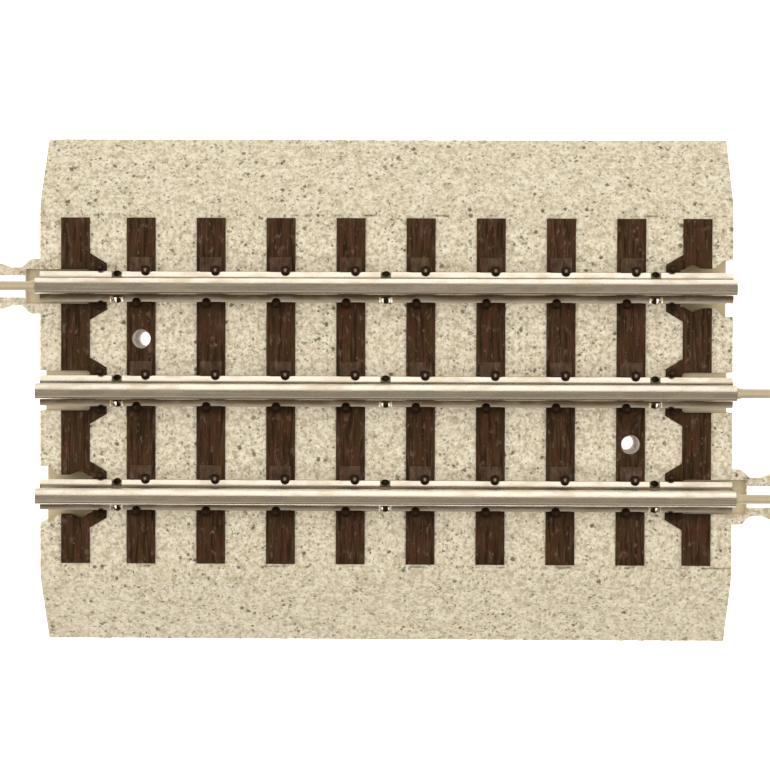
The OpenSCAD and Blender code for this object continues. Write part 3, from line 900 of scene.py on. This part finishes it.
def add_room():
    """A warm-grey ceiling between pale walls, dim low down on the -Y side, and a pale horizon."""
    world = bpy.data.worlds.new("room")
    bpy.context.scene.world = world
    world.use_nodes = True
    tree = world.node_tree
    place = tree.nodes.new("ShaderNodeTexCoord")
    apart = tree.nodes.new("ShaderNodeSeparateXYZ")
    across = tree.nodes.new("ShaderNodeMapRange")
    ramp = tree.nodes.new("ShaderNodeValToRGB")
    low = tree.nodes.new("ShaderNodeMapRange")
    blend = tree.nodes.new("ShaderNodeMix")
    tree.links.new(place.outputs["Generated"], apart.inputs["Vector"])
    tree.links.new(apart.outputs["Y"], across.inputs["Value"])
    across.inputs["From Min"].default_value = -1
    tree.links.new(across.outputs["Result"], ramp.inputs["Fac"])
    ramp.color_ramp.elements[0].position = 0.1
    ramp.color_ramp.elements[0].color = (*DIM, 1)
    ramp.color_ramp.elements[1].position = 1.0
    ramp.color_ramp.elements[1].color = (*BRIGHT_WALL, 1)
    for position, colour in ((0.2, WALL), (0.3, WALL), (0.42, WARM_GREY), (0.6, WARM_GREY)):
        ramp.color_ramp.elements.new(position).color = (*colour, 1)
    low.interpolation_type = "SMOOTHSTEP"
    tree.links.new(apart.outputs["Z"], low.inputs["Value"])
    low.inputs["From Min"].default_value = 0.16
    low.inputs["From Max"].default_value = 0.04
    blend.data_type = "RGBA"
    tree.links.new(low.outputs["Result"], blend.inputs[0])
    tree.links.new(ramp.outputs["Color"], blend.inputs[6])
    blend.inputs[7].default_value = (*PAPER, 1)
    tree.links.new(blend.outputs[2], tree.nodes["Background"].inputs["Color"])


def add_floor():
    """A wide white sheet just under the track."""
    mesh = bpy.data.meshes.new("floor")
    corners = [(x * FLOOR_HALF, y * FLOOR_HALF, 0) for x, y in ((-1, -1), (1, -1), (1, 1), (-1, 1))]
    mesh.from_pydata(corners, [], [(0, 1, 2, 3)])
    mat = Material("floor")
    paper = mat.noise(0.01, 1.0)
    mat.shade(Base_Color=mat.mix(paper, (0.91, 0.91, 0.91), (0.93, 0.93, 0.93)), Roughness=0.9)
    mat.shade(Emission_Color=(1.0, 1.0, 1.0), Emission_Strength=FLOOR_GLOW)
    mesh.materials.append(mat.made)
    floor = bpy.data.objects.new("floor", mesh)
    floor.location.z = -FLOOR_DROP
    bpy.context.scene.collection.objects.link(floor)


# ---- Everything ----


def build_track():
    build_roadbed(ballast_material(), moulding_material())
    tie_look = tie_material()
    for seed, node in enumerate(sorted(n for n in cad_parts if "tie_" in n)):
        build_tie(node, tie_look, 100 + 10 * seed)
    rail_look = rail_material()
    for node, rail_y in RAILS.items():
        build_rail(node, rail_y, rail_look)
    pin_look, contact_look = pin_material(), contact_material()
    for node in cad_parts:
        if node.startswith("rail_pin"):
            build_small(node, pin_look, "_turned", PIN_EASE)
        elif node.startswith("feeder") or node == "outer_rail_jumper":
            build_small(node, contact_look, "_stamped", CONTACT_EASE)


build_track()
add_camera()
add_softbox("key", (0, 37), (18, 23), KEY_LIGHT, LAMP_WARM)
for side in SIDES:
    add_softbox("side", (side * 50, -8), (18, 26), SIDE_LIGHT, LAMP_WARM)
add_room()
add_floor()
bpy.context.scene.view_settings.view_transform = "Standard"
